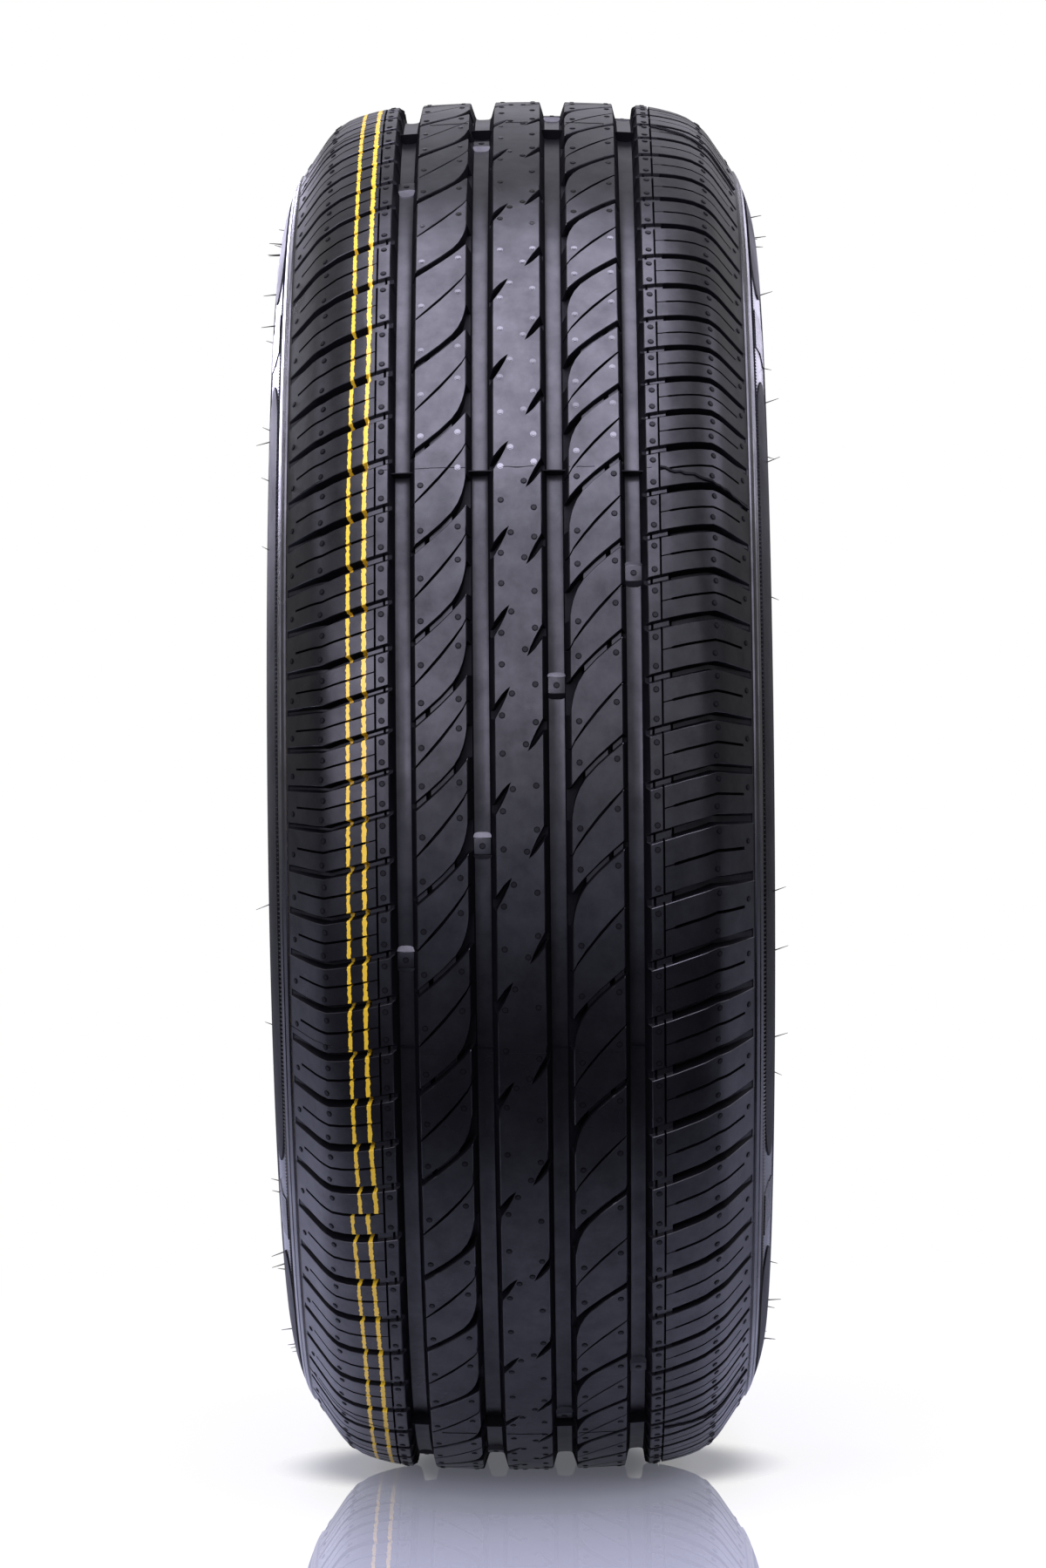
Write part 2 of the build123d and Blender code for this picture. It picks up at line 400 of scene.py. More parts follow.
# %% [markdown]
# ## One pitch of the chart
# The chart starts as a grid of squares, one unit each. The squares of every cut are pushed one level down,
# which also makes their walls. They are easy to pick while they are still squares: the real shape comes
# only when the chart is folded. The narrow cut runs on from pitch to pitch, so its two end walls are
# deleted.

# %% Find the squares that are cut


def find_column(**wanted):
    """Number of the first column that has the wanted values."""
    return next(n for n, column in enumerate(columns) if wanted.items() <= column.items())


tip_column = find_column(zone="centre", across=notch_tip)
notch_mouth = find_column(zone="inner_groove", home="inner", depth=notch_depth)
rib_first = find_column(zone="inner_groove", home="outer", depth=cut_depth)
rib_last = find_column(zone="outer_groove", home="inner", depth=cut_depth)
shoulder_first = find_column(zone="outer_groove", home="outer", depth=tie_bar_depth)
narrow_column = find_column(zone="shoulder", across=narrow_cut[0])
sipe_last = find_column(zone="shoulder", across=sipe_end)
groove_last = find_column(zone="shoulder", across=groove_end)


def is_cut(column, band):
    """True if the square after this column, in this band of lines, is the floor of a cut."""
    if tip_column <= column < notch_mouth:
        return band == WIDE_BANDS[0]
    if rib_first <= column < rib_last:
        return band in WIDE_BANDS
    if column == narrow_column:
        return True
    if shoulder_first <= column < groove_last and band in WIDE_BANDS:
        return True
    return narrow_column < column < sipe_last and band in THIN_BANDS


across_count, around_count = len(columns) - 1, LINES - 1
print("squares", across_count, "by", around_count)

# %% Helpers for modelling


def only(piece):
    """Makes one piece the only selected and active object."""
    bpy.ops.object.select_all(action="DESELECT")
    piece.select_set(True)
    bpy.context.view_layer.objects.active = piece


def new_model(add, shape=Matrix.Identity(4), **settings):
    """A mesh from one of Blender's add operators with its settings, reshaped by a matrix."""
    bpy.ops.object.select_all(action="DESELECT")
    add(**settings)
    model = bpy.context.object
    model.data.transform(shape)
    return model


def edit_all(piece):
    """Opens edit mode with the whole of a piece selected."""
    only(piece)
    bpy.ops.object.mode_set(mode="EDIT")
    bpy.ops.mesh.select_all(action="SELECT")


def edit_faces(piece, wanted):
    """Opens edit mode with only those faces of a piece selected whose centres are wanted."""
    only(piece)
    for kind in (piece.data.vertices, piece.data.edges):
        kind.foreach_set("select", [False] * len(kind))
    for face in piece.data.polygons:
        face.select = wanted(face.center)
    bpy.ops.object.mode_set(mode="EDIT")
    bpy.ops.mesh.select_mode(type="FACE")


def push_up(height):
    """Extrudes what is selected in edit mode by a height, which may be negative."""
    bpy.ops.mesh.extrude_region_move(TRANSFORM_OT_translate={"value": (0, 0, height)})


def end_edit():
    """Goes back to object mode."""
    bpy.ops.object.mode_set(mode="OBJECT")


def merge_corners(piece, distance):
    """Merges corners of a piece that lie closer together than a distance in millimetres."""
    edit_all(piece)
    bpy.ops.mesh.remove_doubles(threshold=distance * MM)
    end_edit()


# %% Cut one pitch of the chart
sliver = 0.01
squares = Matrix.Diagonal((across_count, around_count, 1, 1)) @ Matrix.Translation((0.5, 0.5, 0))
counts = {"x_subdivisions": across_count, "y_subdivisions": around_count}
chart = new_model(bpy.ops.mesh.primitive_grid_add, squares, size=1, **counts)
chart.name = "pitch_chart"
edit_faces(chart, lambda centre: is_cut(int(centre.x), int(centre.y)))
push_up(-1)
end_edit()
edit_faces(chart, lambda centre: min(abs(centre.y), abs(centre.y - around_count)) < sliver)
bpy.ops.mesh.delete(type="FACE")
end_edit()
print("chart", len(chart.data.vertices), "corners", len(chart.data.polygons), "squares")

# %% [markdown]
# ## Dull and polished places
# A mould is polished where it makes the blocks, and a little less on the ridges that make the grooves. The
# thin blades that make walls and cuts are left as they come from the tool. A painted mask would do for one
# view. Here each square of the chart says how dull it is, and the rubber's finish follows that.

# %% Say how dull each square is
floor_dull, cross_floor_dull = 0.1, 0.45


def dullness(centre):
    """How dull one square is: 1 on walls and in thin cuts, 0 on the blocks, and between on groove floors."""
    column, band = int(centre.x), int(centre.y)
    level = ("top", "wall", "floor")[round(-2 * centre.z)]
    beside = columns[column:column + 2]
    if level == "wall":
        return 1.0
    if level == "top":
        if any(side["home"] is None for side in beside):
            return 0.0
        on_wall = max(side["depth"] for side in beside) < foot_round[1][1]
        return 1.0 if on_wall else floor_dull
    zone = columns[column]["zone"]
    floor = max(side["wide"] for side in beside)
    if zone == "rib" and band == WIDE_BANDS[0]:
        return floor_dull if floor == shelf_depth else 1.0
    if zone == "shoulder" and band in WIDE_BANDS:
        return floor_dull if floor == tie_bar_depth else cross_floor_dull
    return 1.0


def set_dull(mesh, values):
    """Stores how dull each face of a mesh is."""
    mesh.attributes.new("dull", "FLOAT", "FACE").data.foreach_set("value", values)


square_dullness = [dullness(face.center) for face in chart.data.polygons]
set_dull(chart.data, square_dullness)
print("dull squares", square_dullness.count(1.0))

# %% [markdown]
# ## Pitches round the tyre
# If all pitches were alike, the tread would hum at one note, so a tyre has a few pitch lengths in an
# irregular order. The letters follow the photograph as far as it shows them. The left half is the right
# half turned end for end, with its own order. The corners also store their place across as the yellow
# paint lines see it: those lines wander from side to side and meet at a splice, which lies along a thin
# cut.

# %% Lay the pitches
pitch_length = {"S": 34.6, "M": 39.6, "L": 44.4, "X": 49.3, "Z": 53.8}
right_pitches = "LLMSSMMLLZXZZXMSMLXZXMSMLXXZLMSSMLXLMMMLXZXLL"
left_pitches = "LLZZLLMSSMMLLZXZZLMSMLXLMSSMLXZXLMMLLZXLMSMLX"
right_start, left_start = -62.4, -70.5


def pitch_places(pitches, start):
    """Start, in millimetres down the front of the tyre, and length of every pitch, closing the ring."""
    scale = circumference / sum(pitch_length[letter] for letter in pitches)
    place = radians(start) * tread_radius
    places = []
    for letter in pitches:
        places.append((place, pitch_length[letter] * scale))
        place += pitch_length[letter] * scale
    return places


def on_half(side, place, length, around):
    """Turns a place in one pitch into a place round the right (side 1) or left (side -1) half."""
    return around - place if side > 0 else -around - place - length


laid_pitches = [
    (side, place, length, np.array([column_lines(column, length, 0.0) for column in columns]))
    for side, pitches, start in ((1, right_pitches, right_start), (-1, left_pitches, left_start))
    for place, length in pitch_places(pitches, start)
]
print("pitches", len(laid_pitches))

# %% Store the places that the paint needs
paint_wander = (
    (-993, 0.4), (-400, 1.5), (-200, 1.2), (-130, -0.2), (-30, -0.5), (100, -1.5), (150, -0.9),
    (192.4, 1.0), (192.8, -3.0), (220, -1.7), (280, 0.0), (600, 1.2), (993, 0.4),
)
paint_slant, paint_start = 0.27, 64.5


def set_paint(mesh, across, around):
    """Stores each corner's place across as the paint lines see it: they are on the left half only."""
    down = (circumference / 2 - around) % circumference - circumference / 2
    down = down - paint_slant * (np.abs(across) - paint_start)
    places = np.where(across < 0, across - np.interp(down, *zip(*paint_wander)), 0.0)
    mesh.attributes.new("paint", "FLOAT", "POINT").data.foreach_set("value", places.astype(np.float32))


# %% Fold the chart round both halves
tie_bar_nub = 1.1
merge_tread = 0.02
chart_corners = np.array([corner.co for corner in chart.data.vertices])
corner_column, corner_line = np.rint(chart_corners[:, :2]).astype(int).T
at_corner = (corner_column, corner_line)
sunk = chart_corners[:, 2] < -0.5
across_of_corner = np.array([column["across"] for column in columns])[corner_column]
nub_corner = (corner_column == shoulder_first) & np.isin(corner_line, WIDE_LINES)
across_of_corner[nub_corner] -= tie_bar_nub
top_depth = np.array([top_depths(column) for column in columns])[at_corner]
floor_depth = np.array([floor_depths(column) for column in columns])[at_corner]
corner_height = -np.where(sunk, floor_depth, top_depth)

pieces = []
for side, place, length, top_lines in laid_pitches:
    low_lines = np.array([column_lines(column, length, draft) for column in columns])
    line_place = np.where(sunk, low_lines[at_corner], top_lines[at_corner])
    around = on_half(side, place, length, line_place)
    points = folded(side * across_of_corner, around, corner_height)
    piece = new_object("pitch", chart.data.copy())
    piece.data.vertices.foreach_set("co", points.astype(np.float32).ravel())
    set_paint(piece.data, side * across_of_corner, around)
    pieces.append(piece)
bpy.data.objects.remove(chart)
tyre = pieces[0]
only(tyre)
for piece in pieces:
    piece.select_set(True)
bpy.ops.object.join()
tyre.name = "tyre_skin"
merge_corners(tyre, merge_tread)
print("tread", len(tyre.data.vertices), "corners", len(tyre.data.polygons), "faces")

# %% [markdown]
# ## The casing
# Below the tread the mould turns the two sides and beads as plain rings, and a rubber bladder presses the
# inside smooth. So this half of the skin is one line, spun round the axis, and the raised ribs and fine
# rings on the sidewall are steps in that line.

# %% Draw the casing's line
rim_half_width = 82.55
flange_radius = 220.3
bead_heel, heel_points = 6.0, 6
bead_toe = (62.55, bead_radius + 3)
neck_inside = (70.05, flange_radius)
side_inside = (half_width - 8, 248.0)
liner_radius = tread_radius - 17
liner_half_width = 46.0
inside_steps = 6
look_ahead = 0.001
# Distance across and raised height, from the chart's end to the widest place
upper_ribs = (
    (111.0, 0.0), (111.3, 0.7), (113.9, 0.8), (114.2, 0.2), (114.7, 0.2), (115.0, 0.8), (117.8, 0.7),
    (118.6, 0.0), (124.0, 0.0), (130.0, 0.0), (136.0, 0.0), (139.7, 0.0), (140.0, 0.5), (140.8, 0.5),
    (141.1, 0.0), (widest, 0.0),
)
# Share of the way and raised height, from the widest place to the rim's flange
lower_ribs = (
    (0.1, 0.0), (0.12, 0.5), (0.15, 0.5), (0.17, 0.0), (0.3, 0.0), (0.42, 0.0), (0.54, 0.0), (0.66, 0.0),
    (0.72, 0.0), (0.74, 0.8), (0.8, 0.9), (0.82, 0.0), (0.92, 0.0), (1.0, 0.0),
)


def curve(start, start_way, end, end_way, shares):
    """Points at shares of a smooth curve that leaves and arrives along the given ways."""
    start, end = np.array(start), np.array(end)
    reach = np.linalg.norm(end - start)
    share = np.array(shares)[:, None]
    leave = np.array(start_way) / np.linalg.norm(start_way) * reach
    arrive = np.array(end_way) / np.linalg.norm(end_way) * reach
    near = 2 * share**3 - 3 * share**2 + 1
    points = near * start + (1 - near) * end
    points += (share**3 - 2 * share**2 + share) * leave + (share**3 - share**2) * arrive
    return [tuple(point) for point in points]


outer_side = []
for across, raised in upper_ribs:
    y, r, slope = section_point(across)
    outer_side.append((y + raised * sin(slope), r + raised * cos(slope)))
side_ends = ((half_width, section_point(widest)[1]), (0, -1), (rim_half_width, flange_radius), (-1, -1))
lower_side = curve(*side_ends, [share for share, _ in lower_ribs])
ahead = curve(*side_ends, [share + look_ahead for share, _ in lower_ribs])
for n, (_, raised) in enumerate(lower_ribs):
    way = np.array(ahead[n]) - np.array(lower_side[n])
    outward = np.array((-way[1], way[0])) / np.linalg.norm(way)
    lower_side[n] = tuple(np.array(lower_side[n]) + raised * outward)
heel_middle = (rim_half_width - bead_heel, bead_radius + bead_heel)
heel = [
    (heel_middle[0] + bead_heel * cos(angle), heel_middle[1] - bead_heel * sin(angle))
    for angle in np.linspace(0, pi / 2, heel_points)
]
toe = [(bead_toe[0], bead_radius), bead_toe]
inside_shares = np.linspace(0, 1, inside_steps + 1)[1:]
inside = curve(bead_toe, (0, 1), neck_inside, (1, 2), (0.5, 1.0))
inside += curve(neck_inside, (1, 2), side_inside, (0, 1), inside_shares)
inside += curve(side_inside, (0, 1), (liner_half_width, liner_radius), (-1, 0), inside_shares)
inside += [(liner_half_width / 2, liner_radius)]
half_line = outer_side + lower_side + heel + toe + inside
casing_line = half_line + [(0.0, liner_radius)] + [(-y, r) for y, r in half_line[::-1]]
print("casing line", len(casing_line), "points")

# %% Spin the casing and join it to the tread
casing_steps = 180
side_gloss = -0.3
merge_casing = 0.01
casing = new_object("casing", bpy.data.meshes.new("casing"))
line_points = [(r * MM, y * MM, 0) for y, r in casing_line]
casing.data.from_pydata(line_points, [(n, n + 1) for n in range(len(line_points) - 1)], [])
edit_all(casing)
bpy.ops.mesh.spin(steps=casing_steps, angle=tau, center=(0, 0, 0), axis=(0, 1, 0))
end_edit()
merge_corners(casing, merge_casing)
set_dull(casing.data, [side_gloss] * len(casing.data.polygons))
only(tyre)
casing.select_set(True)
bpy.ops.object.join()
print("tread and casing", len(tyre.data.polygons), "faces")

# %% Bridge the open loops
skin_crease, small_crease = 28, 40
middle_reach = 5
side_from, side_to = 80, 200


def bridge(low_y, high_y):
    """Bridges the two open loops that lie between two distances from the middle plane, in millimetres."""
    bpy.ops.object.mode_set(mode="EDIT")
    bpy.ops.mesh.select_mode(type="EDGE")
    bpy.ops.mesh.select_all(action="DESELECT")
    skin = bmesh.from_edit_mesh(tyre.data)
    for edge in skin.edges:
        if edge.is_boundary:
            edge.select = all(low_y < corner.co.y / MM < high_y for corner in edge.verts)
    bmesh.update_edit_mesh(tyre.data)
    bpy.ops.mesh.bridge_edge_loops()
    end_edit()


def finish_mesh(piece, crease=small_crease):
    """Turns faces outwards, shades them smooth up to an angle, and says how large and closed the mesh is."""
    edit_all(piece)
    bpy.ops.mesh.normals_make_consistent(inside=False)
    end_edit()
    bpy.ops.object.shade_smooth_by_angle(angle=radians(crease))
    check = bmesh.new()
    check.from_mesh(piece.data)
    open_edges = sum(not edge.is_manifold for edge in check.edges)
    triangles = sum(len(face.verts) - 2 for face in check.faces)
    volume = round(check.calc_volume() * 1e6)
    check.free()
    print(piece.name, triangles, "triangles,", open_edges, "open edges,", volume, "cm3")


bridge(-middle_reach, middle_reach)
bridge(side_from, side_to)
bridge(-side_to, -side_from)
finish_mesh(tyre, skin_crease)

# %% [markdown]
# ## Small things on the skin
# The mould leaves hundreds of small things on the rubber. Each kind is modelled once, lying flat, with x
# across, y around and z up. A copy is then folded round the tyre at each place, so that it lies on the
# skin wherever it is. On the left half a copy is turned end for end, as the tread is.

# %% A helper that folds copies of a flat model


def fold_copies(name, model, places, dull_at=lambda centre: 0.0):
    """One piece with a copy of a flat model folded on at each (across, around, height). The model goes."""
    points = np.array([corner.co for corner in model.data.vertices])
    faces = [list(face.vertices) for face in model.data.polygons]
    dull = [dull_at(face.center) for face in model.data.polygons]
    bpy.data.objects.remove(model)
    all_points, all_faces = [], []
    for across, around, height in places:
        side = -1 if across < 0 else 1
        start = len(all_points) * len(points)
        place = (across + side * points[:, 0], around + side * points[:, 1], height + points[:, 2])
        all_points.append(folded(*place))
        all_faces += [[start + corner for corner in face] for face in faces]
    mesh = bpy.data.meshes.new(name)
    mesh.from_pydata(np.concatenate(all_points), [], all_faces)
    set_dull(mesh, dull * len(places))
    piece = new_object(name, mesh)
    finish_mesh(piece)
    return piece


# %% [markdown]
# ## Wear bars
# A low bar stands across each main groove at five places. When the tread is worn down to it, the tyre is
# done. It is a box with long sloped ends, so that the upper slope catches the light and the lower one lies
# in shade.

# %% Wear bars
bar_size, bar_height = (8.3, 14.0, 3.1), 2.1
bar_top = (0.88, 0.5, 1)
bar_bevel, bar_bevel_steps = 0.3, 2
bar_count = 5
bar_turns = {-48.6: 13.0, -15.8: 4.1, 15.8: -8.2, 48.6: -17.1}


def new_box(size, top):
    """A box of a size, with its top at a height."""
    shape = Matrix.Translation((0, 0, top - size[2] / 2)) @ Matrix.Diagonal((*size, 1))
    return new_model(bpy.ops.mesh.primitive_cube_add, shape, size=1)


bar = new_box(bar_size, bar_height)
edit_faces(bar, lambda centre: centre.z > bar_height - sliver)
bpy.ops.transform.resize(value=bar_top)
bpy.ops.mesh.bevel(offset=bar_bevel, segments=bar_bevel_steps)
end_edit()
bar_places = [
    (across, -radians(turn + n * 360 / bar_count) * tread_radius, -groove_depth)
    for across, turn in bar_turns.items()
    for n in range(bar_count)
]
wear_bars = fold_copies("wear_bars", bar, bar_places)

# %% [markdown]
# ## Vent marks
# Small holes in the mould let the air out, and rubber runs into them as hairs. On the tread these are
# trimmed off, and a dull ring with a small stub in it stays: a flat eight-sided cylinder whose inner part
# is pushed up. The wear bars have one each too. On the ribs above the front seam the photograph's marks
# are bright, so the ones in that segment of the mould are polished.

# %% Model a vent mark and find its places
vent_radius, vent_ring, vent_corners = 1.4, 0.42, 8
ring_height, stub_height = 0.08, 0.3
# Distance across, line to follow, share of the pitch below it, half groove widths and millimetres above it
shoulder_vents = (
    (57.0, shoulder_line, 0, -1, -3.0),
    (57.0, shoulder_line, 1 / 2, 1, 3.0),
    (83.6, shoulder_line, 0, 1, 3.4),
    (84.6, shoulder_line, 0, -1, -2.7),
    (105.5, shoulder_line, 1 / 4, 0, 3.2),
)
rib_vents = (
    (40.5, rib_lower_wall, 0, 0, -4.5),
    (24.9, rib_sipe, 1 / 2, 0, 5.5),
    (40.5, rib_sipe, 1 / 2, 0, -5.5),
    (24.9, rib_upper_wall, 1, 0, 5.5),
    (7.0, notch_upper, 0, 0, 4.0),
    (2.8, notch_upper, 0, 0, 3.0),
    (6.9, notch_upper, 1 / 2, 0, 0.2),
)

vent_shape = Matrix.Translation((0, 0, ring_height - 0.5))
disc = {"vertices": vent_corners, "radius": vent_radius, "depth": 1.0}
vent = new_model(bpy.ops.mesh.primitive_cylinder_add, vent_shape, **disc)
edit_faces(vent, lambda centre: centre.z > ring_height - sliver)
bpy.ops.mesh.inset(thickness=vent_ring)
push_up(stub_height - ring_height)
end_edit()


def vents_in_pitch(pitch):
    """Places (across, around) of the vent marks in one pitch of the right half."""
    half = groove_share * pitch / 2
    for starts, vents in (((0, pitch / 2), shoulder_vents), ((0,), rib_vents)):
        for start in starts:
            for across, line, share, halves, above in vents:
                yield across, along(line, across) - start - share * pitch + halves * half + above


vent_places = [
    (side * across, on_half(side, place, length, around), 0.0)
    for side, place, length, _ in laid_pitches
    for across, around in vents_in_pitch(length)
]
vent_places += [(across, around, bar_height - groove_depth) for across, around, _ in bar_places]
print("vent marks", len(vent_places))

# %% Fold on the vent marks
first_seam, front_seam, seam_spacing, segments = -20.2, 25.5, 44.9, 8
seam_angles = [first_seam] + [front_seam + seam_spacing * n for n in range(segments - 1)]
stub_dull, polished = 0.7, -1.0


def is_shiny(across, around):
    """Whether a vent mark lies on a rib of the mould segment above the front seam."""
    in_segment = seam_angles[1] < degrees(around / tread_radius) < seam_angles[2]
    return abs(across) < second_rib_outer and in_segment


def vent_dullness(centre):
    """How dull one face of a vent mark is: the stub's top is a little less dull than the ring."""
    return stub_dull if centre.z > stub_height - sliver else 1.0


shiny_vent = new_object("shiny_vent", vent.data.copy())
dull_places = [place for place in vent_places if not is_shiny(*place[:2])]
shiny_places = [place for place in vent_places if is_shiny(*place[:2])]
vent_marks = fold_copies("vent_marks", vent, dull_places, vent_dullness)
shiny_vents = fold_copies("shiny_vent_marks", shiny_vent, shiny_places, lambda centre: polished)

# %% [markdown]
# ## Mould seams
# The tread part of the mould is a ring of eight segments, and where two meet a thin line of rubber is
# left. It is a line over the columns, broken off at every cut and turned into a curve with a small
# section. On the right shoulder the rubber is torn along a slant. In the main grooves a thin wall, a flat
# box, stands on the floor.

# %% Helpers for seams
merge_thread = 0.001


def band_at(side, column, seam):
    """Number of the band of lines that a seam lies in where it crosses one column."""
    for pitch_side, place, length, top_lines in laid_pitches:
        if pitch_side == side:
            lines = on_half(side, place, length, top_lines[column])
            for around in (seam, seam - circumference, seam + circumference):
                inside = (lines[:-1] - around) * (lines[1:] - around) <= 0
                if inside.any():
                    return int(np.argmax(inside))
    return 0


def thread(name, lines, radius):
    """A dull piece of round section along lines of points."""
    points = [point for line in lines for point in line]
    starts = np.cumsum([0] + [len(line) for line in lines])
    edges = [(n, n + 1) for first, line in zip(starts, lines) for n in range(first, first + len(line) - 1)]
    piece = new_object(name, bpy.data.meshes.new(name))
    piece.data.from_pydata(points, edges, [])
    only(piece)
    bpy.ops.object.convert(target="CURVE")
    line_curve = bpy.context.object.data
    line_curve.bevel_depth = radius * MM
    line_curve.bevel_resolution = 0
    line_curve.use_fill_caps = True
    bpy.ops.object.convert(target="MESH")
    piece = bpy.context.object
    merge_corners(piece, merge_thread)
    set_dull(piece.data, [1.0] * len(piece.data.polygons))
    finish_mesh(piece)
    return piece


# %% Mould seams
seam_radius, seam_jag, seam_height = 0.13, 0.25, 0.05
tear_start, tear_end, tear_slope = 60.0, 109.0, 0.115
tear_radius, tear_jag, tear_points = 0.85, 0.6, 24
jagged = np.random.default_rng(7)
numbers = range(len(columns))
walk = [(-1, number) for number in reversed(numbers)] + [(1, number) for number in numbers]
seam_lines, tear_lines = [], []
for n, angle in enumerate(seam_angles):
    seam = radians(angle) * tread_radius
    seam_lines.append([])
    for side, number in walk:
        column, band = columns[number], band_at(side, number, seam)
        around = seam + jagged.uniform(-seam_jag, seam_jag)
        if column["home"] or is_cut(number, band) or is_cut(max(number - 1, 0), band):
            seam_lines.append([])
        elif side < 0 or column["across"] < tear_start:
            seam_lines[-1].append(folded(side * column["across"], around, seam_height - column["depth"]))
    if n:
        places = np.linspace(tear_start, tear_end, tear_points)
        jags = jagged.uniform(-tear_jag, tear_jag, tear_points)
        tear_lines.append(list(folded(places, seam - tear_slope * (places - tear_start) + jags, 0 * places)))
seams = thread("mould_seams", [line for line in seam_lines if len(line) > 1], seam_radius)
tears = thread("seam_tears", tear_lines, tear_radius)

# %% Flash in the main grooves
flash_size, flash_height = (9.6, 0.5, 6.0), 1.2
flash_step = 3.2
flash = new_box(flash_size, flash_height)
flash_places = [
    (across, radians(angle) * tread_radius, -groove_depth + (flash_step if n else 0))
    for across in bar_turns
    for n, angle in enumerate(seam_angles)
]
seam_flash = fold_copies("seam_flash", flash, flash_places, lambda centre: 1.0)

# %% [markdown]
# ## Sidewall relief
# The mould engraves the sidewalls too, with four long dull panels, a patch of chevrons in every gap
# between them, and a ring of fine teeth round the top. A bump texture would do from the front, but the
# relief shows on the outline too. A panel is a flat grid, pushed up and narrowed towards its ends. It
# carries no text.

# %% Panels
panel_across, panel_width, panel_length, panel_end = 129.5, 17.0, 426.0, 40.0
panel_height, panel_bevel, panel_tip = 0.55, 1.0, 0.02
panel_grid = {"x_subdivisions": 4, "y_subdivisions": 84}
panel_dull = 0.85
panel_count, panel_start = 4, 2.3
panel_turns = [panel_start + 360 / panel_count * n for n in range(panel_count)]

panel_size = Matrix.Diagonal((panel_width, panel_length, 1, 1))
panel_shape = Matrix.Translation((0, 0, panel_height - 1)) @ panel_size
panel = new_model(bpy.ops.mesh.primitive_grid_add, panel_shape, size=1, **panel_grid)
edit_all(panel)
push_up(1)
bpy.ops.transform.resize(value=(1 - panel_bevel / panel_width, 1 - panel_bevel / panel_length, 1))
end_edit()
for corner in panel.data.vertices:
    into_end = max(0.0, abs(corner.co.y) - (panel_length / 2 - panel_end)) / panel_end
    corner.co.x *= max(panel_tip, 1 - into_end**2) ** 0.5


def both_sides(across, arounds, height=0.0):
    """Places on the right and then on the left side of the tyre."""
    return [(side * across, around, height) for side in (1, -1) for around in arounds]


panel_places = both_sides(panel_across, [radians(turn) * tread_radius for turn in panel_turns])
side_panels = fold_copies("side_panels", panel, panel_places, lambda centre: panel_dull)

# %% Chevrons
chevron_width, chevron_pitch, chevron_count = 13.0, 2.15, 14
chevron_height, chevron_rise = 0.45, 3.0
chevron_fill, chevron_top = 0.85, 0.88
half_gap = 180 / panel_count
chevron_shape = Matrix.Diagonal((chevron_width, chevron_fill * chevron_pitch, 1, 1))
chevron_grid = {"x_subdivisions": 2, "y_subdivisions": 1}
chevron = new_model(bpy.ops.mesh.primitive_grid_add, chevron_shape, size=1, **chevron_grid)
edit_all(chevron)
push_up(2 * chevron_height)
bpy.ops.transform.resize(value=(1, chevron_top, 1))
end_edit()
for corner in chevron.data.vertices:
    corner.co.y += chevron_rise * (1 - 2 * abs(corner.co.x) / chevron_width)
chevron_arounds = [
    radians(turn + half_gap) * tread_radius + (step - chevron_count / 2) * chevron_pitch
    for turn in panel_turns
    for step in range(chevron_count)
]
chevron_places = both_sides(panel_across, chevron_arounds, -chevron_height)
chevrons = fold_copies("side_chevrons", chevron, chevron_places, lambda centre: side_gloss)

# %% Teeth
tooth_across, tooth_length, tooth_pitch = 120.4, 2.4, 2.2
tooth_radius, tooth_flatness = 0.9, 0.6
lying = Matrix.Rotation(pi / 2, 4, "Y") @ Matrix.Rotation(pi / 2, 4, "Z")
tooth_shape = Matrix.Diagonal((1, 1, tooth_flatness, 1)) @ lying
prism = {"vertices": 3, "radius": tooth_radius, "depth": tooth_length}
tooth = new_model(bpy.ops.mesh.primitive_cylinder_add, tooth_shape, **prism)
tooth_count = round(circumference / tooth_pitch)
tooth_places = both_sides(tooth_across, [n * circumference / tooth_count for n in range(tooth_count)])
side_teeth = fold_copies("side_teeth", tooth, tooth_places)

# %% [markdown]
# ## Vent hairs
# On the sidewalls the rubber that ran into the vents is still there, as thin hairs that stand off the
# tyre. Two slim cones, one longer and leaning up, one shorter and leaning down, are copied to seeded
# places.

# %% Vent hairs
hairs_per_side = 44
hair_sink, hair_taper = 0.4, 3
hair_across = (133, 145)
hair_kinds = ((7.0, 0.35, -25), (4.5, 0.3, 30))
spread = np.random.default_rng(3)
vent_hairs = []
for n, (length, radius, lean) in enumerate(hair_kinds):
    hair_shape = Matrix.Rotation(radians(lean), 4, "X") @ Matrix.Translation((0, 0, length / 2 - hair_sink))
    cone = {"vertices": 5, "radius1": radius, "radius2": radius / hair_taper, "depth": length}
    hair = new_model(bpy.ops.mesh.primitive_cone_add, hair_shape, **cone)
    hair_places = [
        (side * spread.uniform(*hair_across), spread.uniform(0, circumference), 0.0)
        for side in (1, -1)
        for _ in range(hairs_per_side // 2)
    ]
    vent_hairs.append(fold_copies(f"vent_hairs_{n + 1}", hair, hair_places))

# %% [markdown]
# ## Rubber
# Fresh tyre rubber is nearly black, and what the eye sees on it are reflections: soft ones on the blocks
# and groove floors, and next to none on the walls of the cuts. So the colour stays the same and the gloss
# changes, by the dull squares of the chart, by clouds and blotches, and a little by mould segment. The
# yellow lines are thin paint, put on before moulding, with ragged edges.

# %% Helpers for materials


def linear(hex_colour):
    """Linear colour of an sRGB hex code such as 1a1a1c."""
    parts = [int(hex_colour[n:n + 2], 16) / 255 for n in (0, 2, 4)]
    return [p / 12.92 if p <= 0.04045 else ((p + 0.055) / 1.055) ** 2.4 for p in parts] + [1.0]


